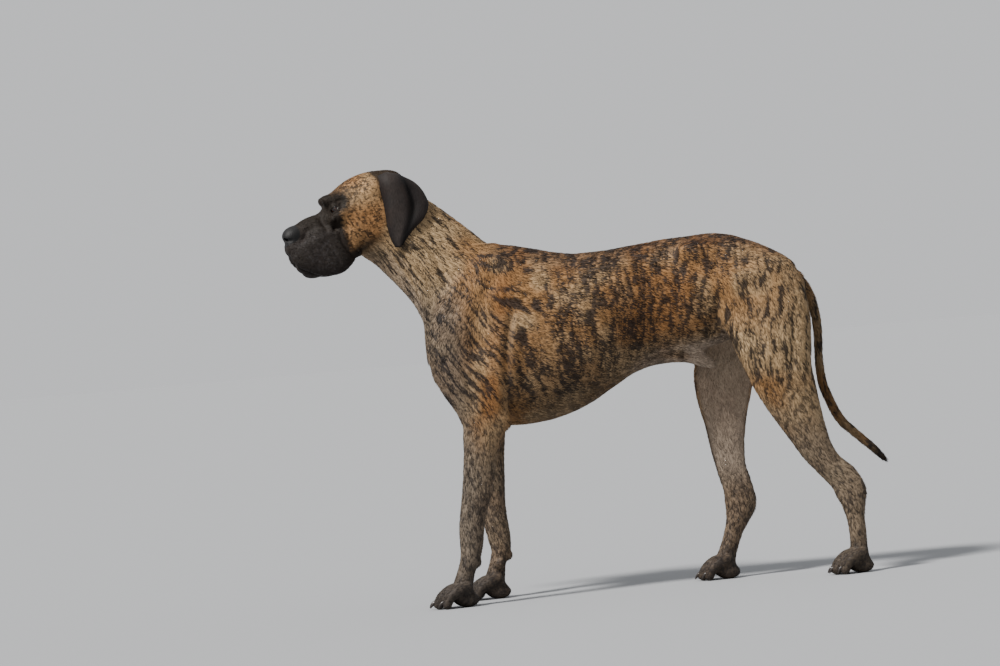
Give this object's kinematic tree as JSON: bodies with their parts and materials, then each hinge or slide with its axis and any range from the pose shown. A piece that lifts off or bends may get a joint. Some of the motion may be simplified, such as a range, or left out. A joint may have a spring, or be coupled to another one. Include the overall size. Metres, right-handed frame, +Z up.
{
  "type": "great dane model",
  "caption": "Life-size standing great dane with a brindle coat, hanging ears and a long tail, as a still display animal for scenes and museums",
  "frame": {"origin": "on the floor under the middle of the dog's length and width", "axes": "+Z up; the dog faces -X; its left side, which the picture shows, is towards -Y"},
  "size_m": [1.416, 0.286, 1.0692],
  "materials": {
    "coat_brindle": "short glossy brindle coat, golden with dark streaks",
    "coat_pale": "short coat, paler brindle",
    "coat_leg": "short coat, grey brindle",
    "coat_foot": "short dark grey coat",
    "coat_dark": "short black-brown coat of the mask and ears",
    "eye_glass": "wet dark brown eye",
    "nose_leather": "moist black nose leather",
    "claw_horn": "dark smooth horn"
  },
  "bodies": {
    "root": {"chest": "coat_brindle", "claw_fore_left_1": "claw_horn", "claw_fore_left_2": "claw_horn", "claw_fore_left_3": "claw_horn", "claw_fore_left_4": "claw_horn", "claw_fore_right_1": "claw_horn", "claw_fore_right_2": "claw_horn", "claw_fore_right_3": "claw_horn", "claw_fore_right_4": "claw_horn", "claw_hind_left_1": "claw_horn", "claw_hind_left_2": "claw_horn", "claw_hind_left_3": "claw_horn", "claw_hind_left_4": "claw_horn", "claw_hind_right_1": "claw_horn", "claw_hind_right_2": "claw_horn", "claw_hind_right_3": "claw_horn", "claw_hind_right_4": "claw_horn", "croup": "coat_brindle", "ear_left": "coat_dark", "ear_right": "coat_dark", "eye_left": "eye_glass", "eye_right": "eye_glass", "fore_paw_left": "coat_foot", "fore_paw_right": "coat_foot", "forearm_left": "coat_leg", "forearm_right": "coat_leg", "gaskin_left": "coat_leg", "gaskin_right": "coat_leg", "head": "coat_dark", "hind_paw_left": "coat_foot", "hind_paw_right": "coat_foot", "hock_left": "coat_leg", "hock_right": "coat_leg", "loin": "coat_brindle", "lower_jaw": "coat_dark", "neck": "coat_pale", "nose": "nose_leather", "pastern_left": "coat_leg", "pastern_right": "coat_leg", "shoulder_left": "coat_brindle", "shoulder_right": "coat_brindle", "tail_lower": "coat_brindle", "tail_middle": "coat_brindle", "tail_upper": "coat_brindle", "thigh_left": "coat_pale", "thigh_right": "coat_pale"}
  },
  "joints": []
}
